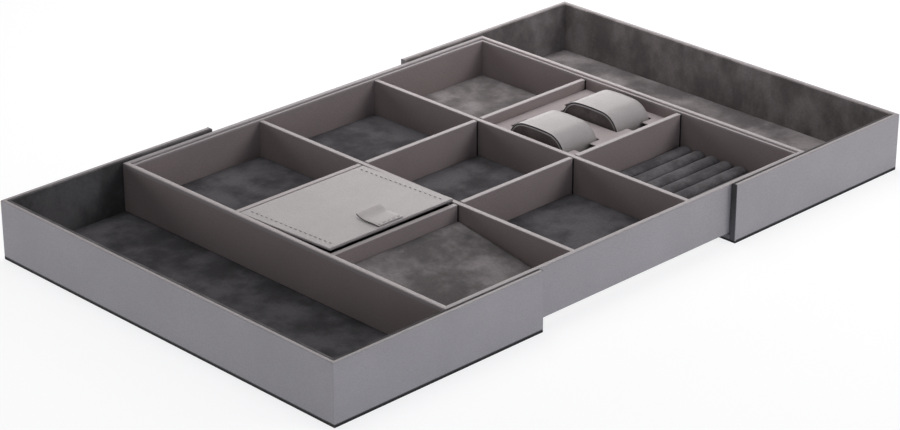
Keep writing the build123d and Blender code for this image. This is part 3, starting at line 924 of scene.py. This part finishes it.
class ORGANIZER_OT_lid_underside(bpy.types.Operator):
    """Glue the suede under the lid, flush with the lid's front edge"""

    bl_idname = "organizer.lid_underside"
    bl_label = "Lid underside"

    def execute(self, context):
        low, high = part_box("lid_suede_underside")
        _, _, front, back, top = lid_span()
        under = top - LID_BOARD
        bm = bmesh.new()
        block(bm, Vector((low.x, front + 0.1 * MM, under - 1.1 * MM)),
              Vector((high.x, back - 0.8 * MM, under)))
        rims = [e for e in bm.edges if all(v.co.z < under - 1.0 * MM for v in e.verts)]
        bmesh.ops.bevel(bm, geom=rims, offset=0.35 * MM, offset_type="OFFSET", affect="EDGES",
                        segments=3, profile=0.5, material=-1)
        as_it_stands(bm)
        node = "lid_suede_underside"
        piece("lid_suede", bm, "lid", "lining_suede", finishes()[finish_of(node)], (node,), 50)
        return {"FINISHED"}


class ORGANIZER_OT_lid_hinge(bpy.types.Operator):
    """Fold the thin leather hinge between the divider and the lid's back edge"""

    bl_idname = "organizer.lid_hinge"
    bl_label = "Lid hinge"

    def execute(self, context):
        low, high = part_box("lid_hinge_leaf")
        left, right, _, hinge_y, top = lid_span()
        thick = high.y - low.y
        fold_top = top - 1.0 * MM
        lid_side = hinge_y - 0.5 * MM
        # the strip's middle line in y and z: up the divider, over, and down the lid
        arch_y, arch = (high.y + lid_side) / 2, (high.y - lid_side - thick) / 2
        line = [(high.y - thick / 2, low.z + (fold_top - 0.4 * MM - low.z) * i / 4)
                for i in range(5)]
        for degrees in (30, 60, 90, 120, 150):
            a = math.radians(degrees)
            line.append((arch_y + arch * math.cos(a), fold_top - 0.4 * MM + arch * math.sin(a)))
        line += [(lid_side + thick / 2, fold_top - 0.4 * MM - 1.4 * MM * i / 3) for i in range(4)]
        points = []
        for index, (y, z) in enumerate(line):
            before, after = line[max(0, index - 1)], line[min(len(line) - 1, index + 1)]
            run = Vector((after[0] - before[0], after[1] - before[1])).normalized()
            points.append((Vector((y, z)), Vector((-run.y, run.x)) * thick / 2))
        ring = [p + n for p, n in points] + [p - n for p, n in reversed(points)]
        cells = 12

        def place(column, row):
            x = left + 1.5 * MM + (right - left - 3 * MM) * min(max(column - 1, 0), cells) / cells
            if column in (0, cells + 2):
                spot = (points[row % len(points)] if row < len(points)
                        else points[(len(ring) - 1 - row) % len(points)])[0]
            else:
                spot = ring[row % len(ring)]
            return Vector((x, spot.x, spot.y))

        bm = shaped_grid(cells + 2, len(ring), place)
        strip = piece("lid_hinge_strip", bm, None, "lid_leather", nodes=("lid_hinge_leaf",))
        lid_side + 0.15 * MM
        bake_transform(strip)
        return {"FINISHED"}


# Boards

class ORGANIZER_OT_boards(bpy.types.Operator):
    """Cover the boards, walls, linings and dividers with their finishes"""

    bl_idname = "organizer.boards"
    bl_label = "Boards"

    def execute(self, context):
        made = finishes()
        for name, node in frame["nodes"].items():
            for slot in node.material_slots:
                slot.material = made[finish_of(name)]
        return {"FINISHED"}


class ORGANIZER_OT_divider_gap_shade(bpy.types.Operator):
    """Fill the gaps at the short dividers' ends with dark blocks: painted shade in those gaps"""

    bl_idname = "organizer.divider_tongues"
    bl_label = "Divider gap shade"

    def execute(self, context):
        faces = []
        for side in ("left", "right"):
            low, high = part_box(f"long_divider_{side}")
            faces += [low.x, high.x]
        faces = [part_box("tray_liner_left")[1].x] + faces + [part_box("tray_liner_right")[0].x]
        bm = bmesh.new()
        for row in ("front", "back"):
            for index, column in enumerate(("left", "middle", "right")):
                low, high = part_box(f"short_divider_{row}_{column}")
                inset = Vector((0, -0.05 * MM, 0))
                top = Vector((0, 0, 1.2 * MM))
                for start, end in ((faces[2 * index], low.x + 0.7 * MM),
                                   (high.x - 0.7 * MM, faces[2 * index + 1])):
                    block(bm, Vector((start, low.y, low.z)) + inset,
                          Vector((end, high.y, high.z)) - inset - top)
        # Dark blocks flush with the dividers' faces: painted shade in the gaps at their ends.
        piece("divider_tongues", bm, "middle_tray", "base_board")
        return {"FINISHED"}


# Studio

class ORGANIZER_OT_studio(bpy.types.Operator):
    """Set up the camera, the lights and the pale floor"""

    bl_idname = "organizer.studio"
    bl_label = "Studio"

    def execute(self, context):
        studio = context.scene.organizer_studio
        context.scene.view_settings.view_transform = "Standard"
        self.camera(context, studio)
        self.lights(context, studio)
        self.floor(context, studio)
        self.world(context)
        return {"FINISHED"}

    def camera(self, context, studio):
        data = bpy.data.cameras.new("studio_camera")
        data.sensor_fit = "HORIZONTAL"
        data.sensor_width = 36.0
        data.lens = studio.lens
        data.clip_start, data.clip_end = 0.05, 50
        camera = bpy.data.objects.new("studio_camera", data)
        camera.location = studio.place
        camera.rotation_euler = (math.pi / 2 - studio.rise, 0, studio.turn)
        context.scene.collection.objects.link(camera)
        context.scene.camera = camera

    def lights(self, context, studio):
        warm, plain, cool = (1.0, 0.955, 0.94), (1.0, 0.985, 0.98), (0.84, 0.91, 1.0)
        panels = (("back_right", 45, 9, 0.34, plain), ("back_left", 135, 9, 0.20, plain),
                  ("front_right", 300, 30, 0.23, plain), ("front", 270, 9, 0.11, cool),
                  ("left", 180, 30, 0.06, plain), ("front_left", 234, 8, 0.07, cool))
        far_width, near_width = 1.4, 0.42
        lamps = []
        for name, azimuth, elevation, part, tint in panels:
            turn, rise = math.radians(azimuth), math.radians(elevation)
            toward = Vector((math.cos(rise) * math.cos(turn), math.cos(rise) * math.sin(turn),
                             math.sin(rise)))
            lamps.append((f"panel_{name}", studio.panels * part, 3 * toward, far_width, tint))
        lamps.append(("overhead", studio.overhead, Vector((0, 0.52, 2.95)), far_width, plain))
        near = (("back_high", (0.3, 0.6, 1.3), 0.50), ("back", (0.6, 0.45, 0.45), 0.14),
                ("front", (0.5, -0.6, 0.45), 0.11), ("over_back", (0.34, 0.22, 0.5), 0.20),
                ("over_right", (0.44, 0.0, 0.5), 0.03))
        for name, place, part in near:
            lamps.append((f"near_{name}", studio.near * part, Vector(place), near_width, warm))
        for name, energy, place, width, tint in lamps:
            data = bpy.data.lights.new(name, "AREA")
            data.shape = "DISK"
            data.size = width
            data.energy = energy
            data.color = tint
            lamp = bpy.data.objects.new(name, data)
            lamp.location = place
            aim = Vector((0.32, 0.1, 0)) if name.startswith("near") else Vector((0, 0, 0))
            lamp.rotation_euler = (aim - place).to_track_quat("-Z", "Y").to_euler()
            lamp.visible_camera = False
            context.scene.collection.objects.link(lamp)

    def floor(self, context, studio):
        made, tree = material("studio_floor")
        seen = self.background_rays(tree)
        sheet = tree.node("ShaderNodeBsdfDiffuse", {}, {"Color": (0.84, 0.84, 0.84, 1)})
        spill = tree.node("ShaderNodeEmission", {}, {
            "Color": (0.76, 0.87, 1.0, 1), "Strength": studio.floor_light})
        real = tree.node("ShaderNodeAddShader", {}, {0: sheet, 1: spill})
        paper = tree.node("ShaderNodeBsdfDiffuse", {}, {"Color": (0.28, 0.28, 0.28, 1)})
        glow = tree.node("ShaderNodeEmission", {}, {
            "Color": (0.985, 0.99, 1, 1), "Strength": studio.floor_glow})
        shown = tree.node("ShaderNodeAddShader", {}, {0: paper, 1: glow})
        mixed = tree.node("ShaderNodeMixShader", {}, {0: seen, 1: real, 2: shown})
        tree.node("ShaderNodeOutputMaterial", {}, {"Surface": mixed})
        bm = bmesh.new()
        bmesh.ops.create_grid(bm, x_segments=1, y_segments=1, size=9)
        mesh = bpy.data.meshes.new("studio_floor")
        bm.to_mesh(mesh)
        bm.free()
        mesh.materials.append(made)
        ground = bpy.data.objects.new("studio_floor", mesh)
        context.scene.collection.objects.link(ground)

    def world(self, context):
        world = bpy.data.worlds.new("studio_world")
        world.use_nodes = True
        context.scene.world = world
        tree = Finish(world.node_tree)
        seen = self.background_rays(tree)
        light = tree.node("ShaderNodeBackground", {}, {"Color": (0, 0, 0, 1)})
        white = tree.node("ShaderNodeBackground", {}, {"Color": (1, 1, 1, 1), "Strength": 1.0})
        mixed = tree.node("ShaderNodeMixShader", {}, {0: seen, 1: light, 2: white})
        tree.node("ShaderNodeOutputWorld", {}, {"Surface": mixed})

    def background_rays(self, tree):
        """1 for rays that show the background, and 0 for those that carry light."""
        rays = [tree.node("ShaderNodeLightPath", output=name)
                for name in ("Is Camera Ray", "Is Glossy Ray", "Is Transmission Ray")]
        return (rays[0] + rays[1] + rays[2]).combine("MINIMUM", 1.0)


class ORGANIZER_PT_panel(bpy.types.Panel):
    """The organizer's steps, in the 3D view's sidebar."""

    bl_label = "Jewelry organizer"
    bl_idname = "ORGANIZER_PT_panel"
    bl_space_type = "VIEW_3D"
    bl_region_type = "UI"
    bl_category = "Organizer"

    def draw(self, context):
        for step in STEPS:
            self.layout.operator(step.bl_idname)
        for group in ("organizer_colours", "organizer_sizes", "organizer_studio"):
            box = self.layout.box()
            values = getattr(context.scene, group)
            for name in values.__annotations__:
                box.prop(values, name)


STEPS = (
    ORGANIZER_OT_studio,
    ORGANIZER_OT_boards,
    ORGANIZER_OT_divider_gap_shade,
    ORGANIZER_OT_floor_pads,
    ORGANIZER_OT_ring_rolls,
    ORGANIZER_OT_watch_cushions,
    ORGANIZER_OT_lid_underside,
    ORGANIZER_OT_lid_stitches,
    ORGANIZER_OT_pull_tab,
    ORGANIZER_OT_lid_hinge,
)
GROUPS = {
    "organizer_colours": OrganizerColours,
    "organizer_sizes": OrganizerSizes,
    "organizer_studio": OrganizerStudio,
}


def register():
    for name, group in GROUPS.items():
        bpy.utils.register_class(group)
        setattr(bpy.types.Scene, name, bpy.props.PointerProperty(type=group))
    for step in STEPS:
        bpy.utils.register_class(step)
    bpy.utils.register_class(ORGANIZER_PT_panel)


def unregister():
    bpy.utils.unregister_class(ORGANIZER_PT_panel)
    for step in reversed(STEPS):
        bpy.utils.unregister_class(step)
    for name, group in GROUPS.items():
        delattr(bpy.types.Scene, name)
        bpy.utils.unregister_class(group)


def main():
    register()
    for step in STEPS:
        group, name = step.bl_idname.split(".")
        getattr(getattr(bpy.ops, group), name)()


if __name__ == "__main__":
    main()
